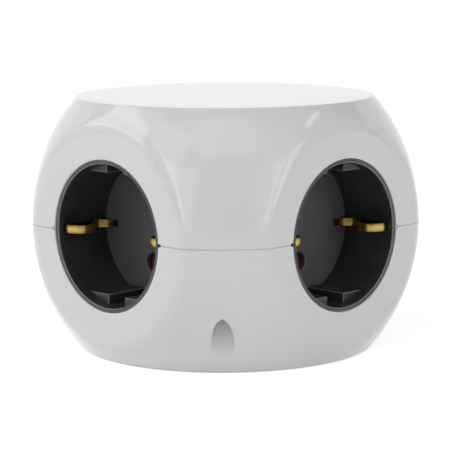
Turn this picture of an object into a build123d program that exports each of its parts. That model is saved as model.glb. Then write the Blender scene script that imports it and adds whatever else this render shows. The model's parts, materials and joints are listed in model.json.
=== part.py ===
from build123d import *

import os

os.makedirs("parts", exist_ok=True)

# Housing: a ball cut by six flats, moulded as two shells that meet on a level parting plane.
face_distance = 46.5
half_height = 35.8
side_flat_margin = 5.32
wall = 2.4
side_edge_radius = 8.0
level_edge_radius = 0.9
seam_width = 0.24
seam_depth = 0.3
opening_radius = 21.0
opening_edge = 0.35
notch_size = 1.4
notch_setback = 0.3
notch_depth = 1.2

# Housing screws: four long screws, driven up through tunnels that break out low on the corners.
screw_inset = 6.6
screw_count = 4
screw_turn = 43.85
tunnel_radius = 3.14
tunnel_tip_rise = 0.14
tunnel_wall = 1.5
screw_seat_drop = 12.0
screw_radius = 1.45
screw_length = 21.0
screw_clearance = 0.3
pilot_clearance = 0.05
pilot_spare = 1.5
screw_head_radius = 2.85
screw_head_height = 2.2
drive_width = 0.9
drive_length = 3.6
drive_depth = 1.2
upper_boss_radius = 3.6

# Round inserts: the rim, wall and flange that the three socket cups and the connection plate share.
rim_gap = 0.15
rim_drop = 0.2
mouth_radius = 19.85
floor_radius = 19.55
rim_edge = 0.4
flange_radius = 23.0
flange_thickness = 1.6
flange_gap = 0.1

# Socket cups: a recess for a round plug with two pins and side earth contacts.
recess_depth = 17.8
cup_floor = 1.6
pin_spacing = 19.0
pin_hole_radius = 2.8
pin_hole_lead = 0.2
guide_height = 16.95
guide_slot = 6.6
guide_drop = 4.0
guide_root = 0.5
window_front = 1.9
window_height = 3.1
floor_slot_room = 2.5
floor_slot_height = 4.0
cut_overrun = 0.6

# Shutters: a rotor behind each cup floor that turns on a pivot and is pushed back by a hairpin spring.
pivot_radius = 1.8
pivot_overhang = 0.3
shutter_gap = 0.2
shutter_thickness = 3.3
shutter_hub_radius = 4.2
shutter_running_clearance = 0.06
wing_width = 6.8
wing_end_radius = 3.7
wing_ramp = 1.3
spring_wire_radius = 0.25
spring_touch = 0.05
spring_foot = 5.0
spring_post_radius = 1.0
spring_post_offset = 10.5

# Earth clips: a brass strap bent round the back of each cup, its two arms sprung through the cup's windows.
shutter_room = 5.2
strap_width = 2.4
strap_thickness = 0.7
strap_root_inset = 4.7
strap_root_rise = 0.7
strap_belly = 20.2
strap_belly_drop = 14.6
strap_flank = 19.2
strap_flank_drop = 12.2
strap_nose = 9.5
strap_nose_drop = 5.0
strap_front = 18.0
strap_front_drop = 2.2
strap_tip = 20.4
strap_tip_drop = 3.8
strap_bends = (0.9, 3.0, 1.9, 2.0, 3.7, 1.4)

# Contact carrier and bus bars: an insulating block with gripping leaves for each pin.
plug_pin_radius = 2.4
leaf_thickness = 0.8
leaf_pinch = 0.2
leaf_flare = 1.2
leaf_spread = 0.4
leaf_half_height = 3.2
leaf_tail = 6.9
leaf_mouth = 4.8
leaf_front_gap = 0.6
carrier_half_height = 15.5
pocket_clearance = 0.6
pocket_back_gap = 1.0
bus_hub_half = 12.0
bus_arm_width = 11.0
bus_tab_inset = 2.4
link_groove_clearance = 0.1
post_inset = 3.5
post_radius = 2.6

# Connection plate: two charging ports above the inlet for the supply cord.
plate_floor_depth = 2.6
plate_floor = 2.4
port_width = 13.1
port_height = 5.7
port_length = 14.0
port_sheet = 0.35
port_clearance = 0.15
port_height_above_centre = 4.5
port_spacing = 16.4
tongue_width = 11.1
tongue_thickness = 1.9
tongue_length = 8.8
tongue_rise = 0.9
tongue_fit = 0.05
contact_strip_width = 1.0
contact_strip_thickness = 0.2
contact_strip_length = 7.4
contact_strip_pitch = 2.3
contact_strip_count = 4
cord_drop = 10.0
cord_bore_radius = 4.2
cord_collar_wall = 2.6
cord_collar_length = 8.0
inlet_ring_width = 1.6
inlet_ring_height = 1.0

# Charger board: held in grooves on the back of the connection plate.
board_width = 32.8
board_thickness = 1.6
board_end_gap = 0.2
board_back_gap = 3.1
rail_depth = 1.3
rail_wall = 1.1
rail_reach = 2.0
groove_clearance = 0.1
transformer_width = 13.0
transformer_length = 11.0
transformer_height = 12.0
transformer_across = -7.4
transformer_front_gap = 1.0
bobbin_flange = 1.2
bobbin_flange_inset = 0.9
reservoir_radius = 4.0
reservoir_height = 12.0
reservoir_across = 9.4
reservoir_front_gap = 1.3
smoother_radius = 2.6
smoother_height = 9.0
smoother_across = 2.4
smoother_front_gap = 7.3
can_edge = 0.5

# Cord clamp: a saddle screwed down on a cradle behind the inlet.
clamp_front_gap = 1.5
clamp_length = 6.0
clamp_width = 20.0
cradle_depth = 7.0
clamp_height = 5.5
clamp_bite = 0.7
clamp_screw_spacing = 14.4
clamp_screw_radius = 1.2
clamp_screw_length = 11.0
clamp_head_radius = 2.3
clamp_head_height = 1.7
cradle_web_width = 6.0

# Leads from the bus bars to the charger board.
lead_radius = 0.9
lead_bend = 1.8
lead_offset = 4.0
lead_tab_inset = 2.2
lead_rise = 4.6
lead_landing = 2.5
lead_wall_gap = 0.3
lead_board_rise = 4.2

# Places worked out from the sizes above.
side_flat_radius = half_height - side_flat_margin
ball_radius = (face_distance**2 + side_flat_radius**2) ** 0.5
screw_ring = ball_radius - screw_inset
tunnel_tip = tunnel_radius + tunnel_tip_rise
tunnel_flank = tunnel_radius * (1 - (tunnel_radius / tunnel_tip) ** 2) ** 0.5
centre = Vector(0, 0, half_height)
parting = Plane.XY.offset(half_height)
insert_radius = opening_radius - rim_gap
rim_front = face_distance - rim_drop
flange_front = face_distance - wall - flange_gap
flange_back = flange_front - flange_thickness
cup_floor_front = face_distance - recess_depth
cup_floor_back = cup_floor_front - cup_floor
carrier_half = cup_floor_back - shutter_room
pin_height = pin_spacing / 2
post_offset = carrier_half - post_inset
strap_root = carrier_half - strap_root_inset
floor_slot_inner = strap_root - floor_slot_room
leaf_front = carrier_half - leaf_front_gap
leaf_grip = leaf_front - leaf_mouth
leaf_back = leaf_grip - leaf_tail
bus_tab_reach = carrier_half - bus_tab_inset
sockets = {"front": (0, -1, 0), "left": (-1, 0, 0), "rear": (0, 1, 0)}
usb_normal = (1, 0, 0)


def face_plane(normal):
    """A plane through the middle of the housing: z along a side's outward normal, y up, x level."""
    return Plane(origin=centre, x_dir=Vector(0, 0, 1).cross(Vector(normal)), z_dir=normal)


def level_section(face, height=0):
    """A level plane for one side: x across the side, y outward along its normal."""
    return Plane(origin=centre + face.y_dir * height, x_dir=face.x_dir, z_dir=-face.y_dir)


all_faces = [face_plane(normal) for normal in (*sockets.values(), usb_normal)]
usb_face = face_plane(usb_normal)


def cut_ball(inset):
    """The housing's form: a ball cut by six flats, taken in evenly by an inset."""
    with BuildPart(parting) as form:
        Sphere(ball_radius - inset)
        across = 2 * (face_distance - inset)
        Box(across, across, 2 * (half_height - inset), mode=Mode.INTERSECT)
    return form.part


def rounded_ball(inset):
    """The cut ball with rounded edges, for the skin and for what follows it closely."""
    with BuildPart() as form:
        add(cut_ball(inset))
        side_flats = form.faces().filter_by(GeomType.PLANE).filter_by(Axis.Z, reverse=True)
        fillet(side_flats.edges(), side_edge_radius - inset)
        level_flats = form.faces().filter_by(GeomType.PLANE).filter_by(Axis.Z)
        fillet(level_flats.edges(), level_edge_radius - inset)
    return form.part


boss_limit = cut_ball(wall / 2)

with BuildPart(parting) as seam_cutter:
    Box(4 * ball_radius, 4 * ball_radius, seam_width)
    add(rounded_ball(seam_depth), mode=Mode.SUBTRACT)

with BuildPart() as housing_blank:
    add(rounded_ball(0))
    add(cut_ball(wall), mode=Mode.SUBTRACT)
    for side in all_faces:
        with Locations(side.offset(face_distance)):
            Hole(opening_radius, depth=face_distance / 2)
    mouth_edges = housing_blank.edges().filter_by(GeomType.CIRCLE).filter_by(
        lambda edge: abs(edge.radius - opening_radius) < seam_depth / 10
    )
    outer_mouths = [
        edge
        for edge in mouth_edges
        if (edge.arc_center - centre).length > face_distance - wall / 2
    ]
    chamfer(outer_mouths, opening_edge)
    for side in all_faces:
        with Locations(side.offset(face_distance)):
            with Locations((notch_setback - opening_radius, 0), (opening_radius - notch_setback, 0)):
                Box(notch_size, notch_size, 2 * notch_depth, rotation=(0, 0, 45), mode=Mode.SUBTRACT)
    add(seam_cutter.part, mode=Mode.SUBTRACT)

# Upper shell: the blank above the parting plane, with blind screw bosses and posts on the carrier.
with BuildPart() as upper_bosses:
    with BuildSketch(parting):
        with PolarLocations(screw_ring, screw_count, start_angle=screw_turn):
            Circle(upper_boss_radius)
    extrude(amount=half_height)
    with BuildSketch(parting.offset(carrier_half_height)):
        with GridLocations(2 * post_offset, 2 * post_offset, 2, 2):
            Circle(post_radius)
    extrude(amount=half_height - carrier_half_height)
    add(boss_limit, mode=Mode.INTERSECT)

with BuildPart() as upper_shell:
    add(housing_blank.part)
    split(bisect_by=parting, keep=Keep.TOP)
    add(upper_bosses.part)
    with Locations(Plane(origin=centre, z_dir=(0, 0, -1))):
        with PolarLocations(screw_ring, screw_count, start_angle=-screw_turn):
            Hole(screw_radius + pilot_clearance, depth=screw_length - screw_seat_drop + pilot_spare)
upper_shell.part.label = "upper_shell"
export_step(upper_shell.part, "parts/upper_shell.step")

# Lower shell: the blank below the parting plane, with the four screw tunnels and the carrier's posts.
with BuildPart() as lower_bosses:
    with BuildSketch(parting):
        with PolarLocations(screw_ring, screw_count, start_angle=screw_turn):
            Circle(tunnel_radius + tunnel_wall)
    extrude(amount=-half_height)
    with BuildSketch(parting.offset(-carrier_half_height)):
        with GridLocations(2 * post_offset, 2 * post_offset, 2, 2):
            Circle(post_radius)
    extrude(amount=carrier_half_height - half_height)
    add(boss_limit, mode=Mode.INTERSECT)

with BuildPart() as lower_shell:
    add(housing_blank.part)
    split(bisect_by=parting, keep=Keep.BOTTOM)
    add(lower_bosses.part)
    with Locations(Plane(origin=(0, 0, 0), z_dir=(0, 0, -1))):
        with PolarLocations(screw_ring, screw_count, start_angle=-screw_turn):
            CounterBoreHole(
                screw_radius + screw_clearance, tunnel_radius, half_height - screw_seat_drop
            )
    with BuildSketch(Plane.XY):
        with PolarLocations(screw_ring, screw_count, start_angle=screw_turn):
            Polygon(
                (tunnel_tip, 0),
                (tunnel_radius**2 / tunnel_tip, tunnel_flank),
                (0, 0),
                (tunnel_radius**2 / tunnel_tip, -tunnel_flank),
                align=None,
            )
    extrude(amount=half_height - screw_seat_drop, mode=Mode.SUBTRACT)
lower_shell.part.label = "lower_shell"
export_step(lower_shell.part, "parts/lower_shell.step")

# Housing screws: pan heads with a cross drive, seated at the ends of the tunnels.
with BuildPart(parting.offset(-screw_seat_drop)) as housing_screws:
    with PolarLocations(screw_ring, screw_count, start_angle=screw_turn):
        Cylinder(screw_radius, screw_length, align=(Align.CENTER, Align.CENTER, Align.MIN))
        Cylinder(screw_head_radius, screw_head_height, align=(Align.CENTER, Align.CENTER, Align.MAX))
        with Locations((0, 0, -screw_head_height)):
            Box(
                drive_length,
                drive_width,
                drive_depth,
                align=(Align.CENTER, Align.CENTER, Align.MIN),
                mode=Mode.SUBTRACT,
            )
            Box(
                drive_width,
                drive_length,
                drive_depth,
                align=(Align.CENTER, Align.CENTER, Align.MIN),
                mode=Mode.SUBTRACT,
            )
housing_screws.part.label = "housing_screws"
export_step(housing_screws.part, "parts/housing_screws.step")


def round_insert(face, floor_depth, floor_thickness):
    """A turned insert for one side: rim with a rounded edge, drafted wall, floor and a flange."""
    floor_front = face_distance - floor_depth
    floor_back = floor_front - floor_thickness
    with BuildPart() as insert:
        with BuildSketch(level_section(face)):
            with BuildLine():
                Polyline(
                    (0, floor_back),
                    (insert_radius, floor_back),
                    (insert_radius, flange_back),
                    (flange_radius, flange_back),
                    (flange_radius, flange_front),
                    (insert_radius, flange_front),
                    (insert_radius, rim_front),
                    (mouth_radius, rim_front),
                    (floor_radius, floor_front),
                    (0, floor_front),
                    close=True,
                )
            make_face()
        revolve(axis=Axis(centre, face.z_dir))
        rim = insert.edges().filter_by(GeomType.CIRCLE).filter_by(
            lambda edge: abs(edge.radius - mouth_radius) < rim_gap / 10
        )
        fillet(rim, rim_edge)
    return insert.part


def make_socket_cup(name, face):
    """The moulded cup of one socket, with its plug guides, pin holes, earth windows and shutter pivot."""
    with BuildPart() as cup:
        add(round_insert(face, recess_depth, cup_floor))
        with BuildSketch(face.offset(cup_floor_front)):
            Circle(mouth_radius + guide_root)
            Rectangle(3 * mouth_radius, 2 * guide_height, mode=Mode.SUBTRACT)
            Rectangle(guide_slot, 3 * mouth_radius, mode=Mode.SUBTRACT)
        extrude(amount=recess_depth - guide_drop)
        with Locations(face.offset(cup_floor_front)):
            with Locations((0, pin_height), (0, -pin_height)):
                CounterSinkHole(pin_hole_radius, pin_hole_radius + pin_hole_lead, depth=2 * cup_floor)
        window_middle = (floor_radius + flange_radius) / 2
        window_end = face_distance - window_front
        with BuildSketch(level_section(face)):
            with Locations((-window_middle, window_end), (window_middle, window_end)):
                Rectangle(
                    flange_radius - floor_radius + 2 * cut_overrun,
                    recess_depth + cup_floor + cut_overrun - window_front,
                    align=(Align.CENTER, Align.MAX),
                )
        extrude(amount=window_height / 2, both=True, mode=Mode.SUBTRACT)
        slot_middle = (floor_slot_inner + floor_radius) / 2
        with BuildSketch(face.offset(cup_floor_back - cut_overrun)):
            with Locations((-slot_middle, 0), (slot_middle, 0)):
                Rectangle(floor_radius - floor_slot_inner, floor_slot_height)
        extrude(amount=cup_floor + 2 * cut_overrun, mode=Mode.SUBTRACT)
        with BuildSketch(face.offset(cup_floor_back)):
            Circle(pivot_radius)
            with Locations((-spring_post_offset, pin_height)):
                Circle(spring_post_radius)
        extrude(amount=-(shutter_gap + shutter_thickness + pivot_overhang))
    cup.part.label = f"socket_cup_{name}"
    export_step(cup.part, f"parts/socket_cup_{name}.step")


def make_earth_clip(name, face):
    """A strap bent round the back of a cup: a bar on the carrier, and arms with round noses and curled tips."""
    bar = carrier_half + strap_thickness / 2
    arm = [
        (strap_root, bar),
        (strap_root, cup_floor_front + strap_root_rise),
        (strap_belly, face_distance - strap_belly_drop),
        (strap_flank, face_distance - strap_flank_drop),
        (strap_nose, face_distance - strap_nose_drop),
        (strap_front, face_distance - strap_front_drop),
        (strap_tip, face_distance - strap_tip_drop),
    ]
    other_arm = [(-across, out) for across, out in arm]
    with BuildPart() as clip:
        with BuildSketch(level_section(face)):
            with BuildLine():
                FilletPolyline(*reversed(other_arm), *arm, radius=[*reversed(strap_bends), *strap_bends])
            trace(line_width=strap_thickness)
        extrude(amount=strap_width / 2, both=True)
    clip.part.label = f"earth_clip_{name}"
    export_step(clip.part, f"parts/earth_clip_{name}.step")


def make_shutter(name, face):
    """The rotor that closes both pin holes: a hub with two round-ended wings, each with a ramp for a pin."""
    with BuildPart() as shutter:
        with BuildSketch(face.offset(cup_floor_back - shutter_gap)):
            Circle(shutter_hub_radius)
            Rectangle(wing_width, pin_spacing)
            with Locations((0, pin_height), (0, -pin_height)):
                Circle(wing_end_radius)
            Circle(pivot_radius + shutter_running_clearance, mode=Mode.SUBTRACT)
        extrude(amount=-shutter_thickness)
        front = shutter.faces().filter_by(Axis(centre, face.z_dir)).sort_by(Axis(centre, face.z_dir))[-1]
        straight = front.edges().filter_by(GeomType.LINE)
        upper_ramp = [e for e in straight if face.to_local_coords(e.center()).X > 0]
        ramps = [e for e in upper_ramp if face.to_local_coords(e.center()).Y > 0]
        ramps += [
            e
            for e in straight
            if face.to_local_coords(e.center()).X < 0 and face.to_local_coords(e.center()).Y < 0
        ]
        chamfer(ramps, wing_ramp)
    shutter.part.label = f"shutter_{name}"
    export_step(shutter.part, f"parts/shutter_{name}.step")


def make_shutter_spring(name, face):
    """A hairpin of spring wire between a shutter's upper wing and the post on the cup's back."""
    wing_side = -(wing_end_radius + spring_touch + spring_wire_radius)
    post_side = -(spring_post_offset - spring_post_radius - spring_touch - spring_wire_radius)
    middle = cup_floor_back - shutter_gap - shutter_thickness / 2
    wire_plane = face.offset(middle)
    with BuildPart() as spring:
        with BuildLine(wire_plane) as wire:
            FilletPolyline(
                (wing_side, pin_height),
                ((wing_side + post_side) / 2, pin_height - spring_foot),
                (post_side, pin_height),
                radius=4 * spring_wire_radius,
            )
        with BuildSketch(Plane(origin=wire.line @ 0, z_dir=wire.line % 0)):
            Circle(spring_wire_radius)
        sweep()
    spring.part.label = f"shutter_spring_{name}"
    export_step(spring.part, f"parts/shutter_spring_{name}.step")


for socket_name, socket_normal in sockets.items():
    socket_face = face_plane(socket_normal)
    make_socket_cup(socket_name, socket_face)
    make_earth_clip(socket_name, socket_face)
    make_shutter(socket_name, socket_face)
    make_shutter_spring(socket_name, socket_face)

# Contact carrier: a block with a pocket for each pin's leaves and a groove for the earth link.
pocket_half = plug_pin_radius - leaf_pinch + leaf_thickness + leaf_flare + pocket_clearance
pocket_floor = pin_height - leaf_half_height - pocket_clearance
groove_half = strap_width / 2 + link_groove_clearance
with BuildPart(parting) as contact_carrier:
    Box(2 * carrier_half, 2 * carrier_half, 2 * carrier_half_height)
    for normal in sockets.values():
        with BuildSketch(level_section(face_plane(normal), carrier_half_height)):
            with Locations((0, carrier_half + cut_overrun)):
                Rectangle(
                    2 * pocket_half,
                    carrier_half + cut_overrun - leaf_back + pocket_back_gap,
                    align=(Align.CENTER, Align.MAX),
                )
        extrude(amount=carrier_half_height - pocket_floor, mode=Mode.SUBTRACT)
        with BuildSketch(level_section(face_plane(normal), -pocket_floor)):
            with Locations((0, carrier_half + cut_overrun)):
                Rectangle(
                    2 * pocket_half,
                    carrier_half + cut_overrun - leaf_back + pocket_back_gap,
                    align=(Align.CENTER, Align.MAX),
                )
        extrude(amount=carrier_half_height - pocket_floor, mode=Mode.SUBTRACT)
    groove_inner = carrier_half - strap_thickness - link_groove_clearance
    with BuildSketch(parting):
        Rectangle(2 * carrier_half + cut_overrun, 2 * carrier_half + cut_overrun)
        with Locations((-groove_inner, 0)):
            Rectangle(
                3 * carrier_half,
                2 * groove_inner,
                align=(Align.MIN, Align.CENTER),
                mode=Mode.SUBTRACT,
            )
    extrude(amount=groove_half, both=True, mode=Mode.SUBTRACT)
contact_carrier.part.label = "contact_carrier"
export_step(contact_carrier.part, "parts/contact_carrier.step")

# Earth link: a strap round three sides of the carrier that joins the bars of the three earth clips.
link_middle = carrier_half - strap_thickness / 2
link_end = strap_root
with BuildPart() as earth_link:
    with BuildSketch(parting):
        with BuildLine():
            FilletPolyline(
                (link_end, -link_middle),
                (-link_middle, -link_middle),
                (-link_middle, link_middle),
                (link_end, link_middle),
                radius=strap_thickness,
            )
        trace(line_width=strap_thickness)
    extrude(amount=strap_width / 2, both=True)
earth_link.part.label = "earth_link"
export_step(earth_link.part, "parts/earth_link.step")

# Live bus bar: a stamped plate on the carrier with a pair of gripping leaves bent down for each socket.
leaf_inner = plug_pin_radius - leaf_pinch + leaf_thickness / 2
leaf_length = carrier_half_height - pin_height + leaf_half_height
with BuildPart() as live_busbar:
    with BuildSketch(parting.offset(carrier_half_height)):
        Rectangle(2 * bus_hub_half, 2 * bus_hub_half)
        Rectangle(bus_arm_width, 2 * leaf_front)
        Rectangle(leaf_front, bus_arm_width, align=(Align.MAX, Align.CENTER))
        Rectangle(bus_tab_reach, bus_arm_width, align=(Align.MIN, Align.CENTER))
    extrude(amount=leaf_thickness)
    for normal in sockets.values():
        with BuildSketch(level_section(face_plane(normal), carrier_half_height)):
            for outward in (-1, 1):
                with BuildLine():
                    FilletPolyline(
                        (outward * (leaf_inner + leaf_spread), leaf_back),
                        (outward * leaf_inner, leaf_grip),
                        (outward * (leaf_inner + leaf_flare), leaf_front),
                        radius=leaf_grip - leaf_back,
                    )
                trace(line_width=leaf_thickness)
        extrude(amount=leaf_length)
live_busbar.part.label = "live_busbar"
export_step(live_busbar.part, "parts/live_busbar.step")

# Neutral bus bar: the same stamping turned over under the carrier.
with BuildPart() as neutral_busbar:
    add(live_busbar.part)
    mirror(about=parting, mode=Mode.REPLACE)
neutral_busbar.part.label = "neutral_busbar"
export_step(neutral_busbar.part, "parts/neutral_busbar.step")

# Connection plate: a shallow insert with two port windows, board rails and the cord's inlet and cradle.
plate_front = face_distance - plate_floor_depth
plate_back = plate_front - plate_floor
board_bottom = port_height_above_centre + port_height / 2
board_top = board_bottom + board_thickness
board_front = plate_back - board_end_gap
board_back = carrier_half + board_back_gap
board_length = board_front - board_back
rail_inner = board_width / 2 + groove_clearance - rail_depth
rail_outer = rail_inner + rail_depth + rail_wall
clamp_front = plate_back - cord_collar_length - clamp_front_gap
clamp_back = clamp_front - clamp_length
cradle_bottom = -cord_drop - cradle_depth
clamp_middle = centre + Vector((clamp_front + clamp_back) / 2, 0, -cord_drop)
clamp_plane = Plane(origin=clamp_middle, x_dir=(0, 1, 0), z_dir=(0, 0, 1))
port_places = [(-port_spacing / 2, port_height_above_centre), (port_spacing / 2, port_height_above_centre)]
clamp_screw_places = [(-clamp_screw_spacing / 2, 0), (clamp_screw_spacing / 2, 0)]
with BuildPart() as usb_plate:
    add(round_insert(usb_face, plate_floor_depth, plate_floor))
    with BuildSketch(usb_face.offset(plate_front)):
        with Locations((0, -cord_drop)):
            Circle(cord_bore_radius + inlet_ring_width)
    extrude(amount=inlet_ring_height)
    with BuildSketch(usb_face.offset(plate_back)):
        with Locations((0, -cord_drop)):
            Circle(cord_bore_radius + cord_collar_wall)
    extrude(amount=-cord_collar_length)
    with BuildSketch(usb_face.offset(plate_back)):
        for outward in (-1, 1):
            with Locations((outward * (rail_inner + rail_outer) / 2, (board_bottom + board_top) / 2)):
                Rectangle(rail_outer - rail_inner, board_thickness + 2 * rail_reach)
    extrude(amount=board_back - plate_back)
    with BuildSketch(usb_face.offset(plate_back)):
        with Locations((0, (board_bottom + board_top) / 2)):
            Rectangle(board_width + 2 * groove_clearance, board_thickness + 2 * groove_clearance)
    extrude(amount=board_back - plate_back - cut_overrun, mode=Mode.SUBTRACT)
    with BuildSketch(usb_face.offset(clamp_front)):
        with Locations((0, -cord_drop)):
            Rectangle(clamp_width, cradle_depth, align=(Align.CENTER, Align.MAX))
    extrude(amount=-clamp_length)
    with BuildSketch(usb_face.offset(plate_back)):
        with Locations((0, cradle_bottom)):
            Rectangle(cradle_web_width, cord_collar_wall, align=(Align.CENTER, Align.MIN))
    extrude(amount=clamp_front - plate_back)
    with BuildSketch(usb_face.offset(plate_front + inlet_ring_height)):
        with Locations((0, -cord_drop)):
            Circle(cord_bore_radius)
    extrude(amount=-(inlet_ring_height + plate_floor + cord_collar_length), mode=Mode.SUBTRACT)
    with BuildSketch(usb_face.offset(clamp_front)):
        with Locations((0, -cord_drop)):
            Circle(cord_bore_radius - clamp_bite)
    extrude(amount=-clamp_length, mode=Mode.SUBTRACT)
    with BuildSketch(usb_face.offset(face_distance)):
        with Locations(*port_places):
            Rectangle(port_width + 2 * port_clearance, port_height + 2 * port_clearance)
    extrude(amount=plate_back - cut_overrun - face_distance, mode=Mode.SUBTRACT)
    with Locations(clamp_plane):
        with Locations(*clamp_screw_places):
            Hole(clamp_screw_radius + pilot_clearance, depth=cradle_depth)
usb_plate.part.label = "usb_plate"
export_step(usb_plate.part, "parts/usb_plate.step")

# Charging ports: a folded metal shell, a moulded tongue and four contact strips in each.
port_back = plate_front - port_length
for port_name, port_place in zip(("left", "right"), port_places):
    with BuildPart() as port_shell:
        with BuildSketch(usb_face.offset(plate_front)):
            with Locations(port_place):
                Rectangle(port_width, port_height)
                Rectangle(port_width - 2 * port_sheet, port_height - 2 * port_sheet, mode=Mode.SUBTRACT)
        extrude(amount=-port_length)
    port_shell.part.label = f"usb_port_{port_name}"
    export_step(port_shell.part, f"parts/usb_port_{port_name}.step")

    inner_width = port_width - 2 * port_sheet - 2 * tongue_fit
    inner_height = port_height - 2 * port_sheet - 2 * tongue_fit
    block_length = port_length - tongue_length - tongue_fit
    tongue_place = (port_place[0], port_place[1] + tongue_rise)
    with BuildPart() as tongue:
        with BuildSketch(usb_face.offset(port_back)):
            with Locations(port_place):
                Rectangle(inner_width, inner_height)
        extrude(amount=block_length - cut_overrun)
        with BuildSketch(usb_face.offset(port_back)):
            with Locations(tongue_place):
                Rectangle(tongue_width, tongue_thickness)
        extrude(amount=block_length + tongue_length - cut_overrun)
    tongue.part.label = f"usb_tongue_{port_name}"
    export_step(tongue.part, f"parts/usb_tongue_{port_name}.step")

    strip_place = (port_place[0], tongue_place[1] - tongue_thickness / 2 - contact_strip_thickness / 2)
    with BuildPart() as contact_strips:
        with BuildSketch(usb_face.offset(port_back + block_length - cut_overrun)):
            with Locations(strip_place):
                with GridLocations(contact_strip_pitch, 1, contact_strip_count, 1):
                    Rectangle(contact_strip_width, contact_strip_thickness)
        extrude(amount=contact_strip_length)
    contact_strips.part.label = f"usb_contacts_{port_name}"
    export_step(contact_strips.part, f"parts/usb_contacts_{port_name}.step")

# Charger board: a plain board whose edges slide in the plate's rails.
with BuildPart() as usb_board:
    with BuildSketch(usb_face.offset(board_back)):
        with Locations((0, board_bottom)):
            Rectangle(board_width, board_thickness, align=(Align.CENTER, Align.MIN))
    extrude(amount=board_length)
usb_board.part.label = "usb_board"
export_step(usb_board.part, "parts/usb_board.step")

# Transformer: a wound block between the two flanges of its bobbin, standing on the board.
board_plane = Plane(origin=centre + Vector(0, 0, board_top), x_dir=(0, 1, 0), z_dir=(0, 0, 1))
transformer_out = plate_back - transformer_front_gap - transformer_length / 2
with BuildPart() as usb_transformer:
    for flange_level in (0, transformer_height - bobbin_flange):
        with BuildSketch(board_plane.offset(flange_level)):
            with Locations((transformer_across, -transformer_out)):
                Rectangle(transformer_width, transformer_length)
        extrude(amount=bobbin_flange)
    winding_width = transformer_width - 2 * bobbin_flange_inset
    winding_length = transformer_length - 2 * bobbin_flange_inset
    with BuildSketch(board_plane):
        with Locations((transformer_across, -transformer_out)):
            Rectangle(winding_width, winding_length)
    extrude(amount=transformer_height)
usb_transformer.part.label = "usb_transformer"
export_step(usb_transformer.part, "parts/usb_transformer.step")

# Capacitors: two upright cans with a bevelled top edge.
reservoir_out = plate_back - reservoir_front_gap - reservoir_radius
smoother_out = plate_back - smoother_front_gap - smoother_radius
cans = {
    "usb_reservoir_capacitor": (reservoir_radius, reservoir_height, reservoir_across, reservoir_out),
    "usb_smoothing_capacitor": (smoother_radius, smoother_height, smoother_across, smoother_out),
}
for can_name, (can_radius, can_height, can_across, can_out) in cans.items():
    with BuildPart() as can:
        with BuildSketch(board_plane):
            with Locations((can_across, -can_out)):
                Circle(can_radius)
        extrude(amount=can_height)
        chamfer(can.faces().sort_by(Axis.Z)[-1].edges(), can_edge)
    can.part.label = can_name
    export_step(can.part, f"parts/{can_name}.step")

# Cord clamp: a saddle with a half-round bite, held down on the cradle by two screws.
with BuildPart() as cord_clamp:
    with BuildSketch(usb_face.offset(clamp_front)):
        with Locations((0, -cord_drop)):
            Rectangle(clamp_width, clamp_height, align=(Align.CENTER, Align.MIN))
            Circle(cord_bore_radius - clamp_bite, mode=Mode.SUBTRACT)
    extrude(amount=-clamp_length)
    with Locations(clamp_plane.offset(clamp_height)):
        with Locations(*clamp_screw_places):
            Hole(clamp_screw_radius + screw_clearance)
cord_clamp.part.label = "cord_clamp"
export_step(cord_clamp.part, "parts/cord_clamp.step")

# Clamp screws: two short pan heads with a cross drive.
with BuildPart(clamp_plane.offset(clamp_height)) as clamp_screws:
    with Locations(*clamp_screw_places):
        Cylinder(clamp_screw_radius, clamp_screw_length, align=(Align.CENTER, Align.CENTER, Align.MAX))
        Cylinder(clamp_head_radius, clamp_head_height, align=(Align.CENTER, Align.CENTER, Align.MIN))
clamp_screws.part.label = "clamp_screws"
export_step(clamp_screws.part, "parts/clamp_screws.step")

# Leads: insulated wires from the tabs of the two bus bars to the charger board.
tab_x = bus_tab_reach - lead_tab_inset
landing_x = board_back + lead_landing
bus_outside = carrier_half_height + leaf_thickness
riser_x = carrier_half + lead_wall_gap + lead_radius
lead_routes = {
    "live_lead": [
        (tab_x, lead_offset, bus_outside),
        (tab_x, lead_offset, bus_outside + lead_rise),
        (landing_x, lead_offset, bus_outside + lead_rise),
        (landing_x, lead_offset, board_top),
    ],
    "neutral_lead": [
        (tab_x, -lead_offset, -bus_outside),
        (tab_x, -lead_offset, -bus_outside - lead_rise),
        (riser_x, -lead_offset, -bus_outside - lead_rise),
        (riser_x, -lead_offset, board_top + lead_board_rise),
        (landing_x, -lead_offset, board_top + lead_board_rise),
        (landing_x, -lead_offset, board_top),
    ],
}
for lead_name, route in lead_routes.items():
    with BuildPart() as lead:
        with BuildLine(parting) as lead_path:
            FilletPolyline(*route, radius=lead_bend)
        with BuildSketch(Plane(origin=lead_path.line @ 0, z_dir=lead_path.line % 0)):
            Circle(lead_radius)
        sweep()
    lead.part.label = lead_name
    export_step(lead.part, f"parts/{lead_name}.step")
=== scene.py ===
import json
import math

import bmesh
import bpy
import numpy as np
from mathutils import Matrix, Vector


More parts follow.
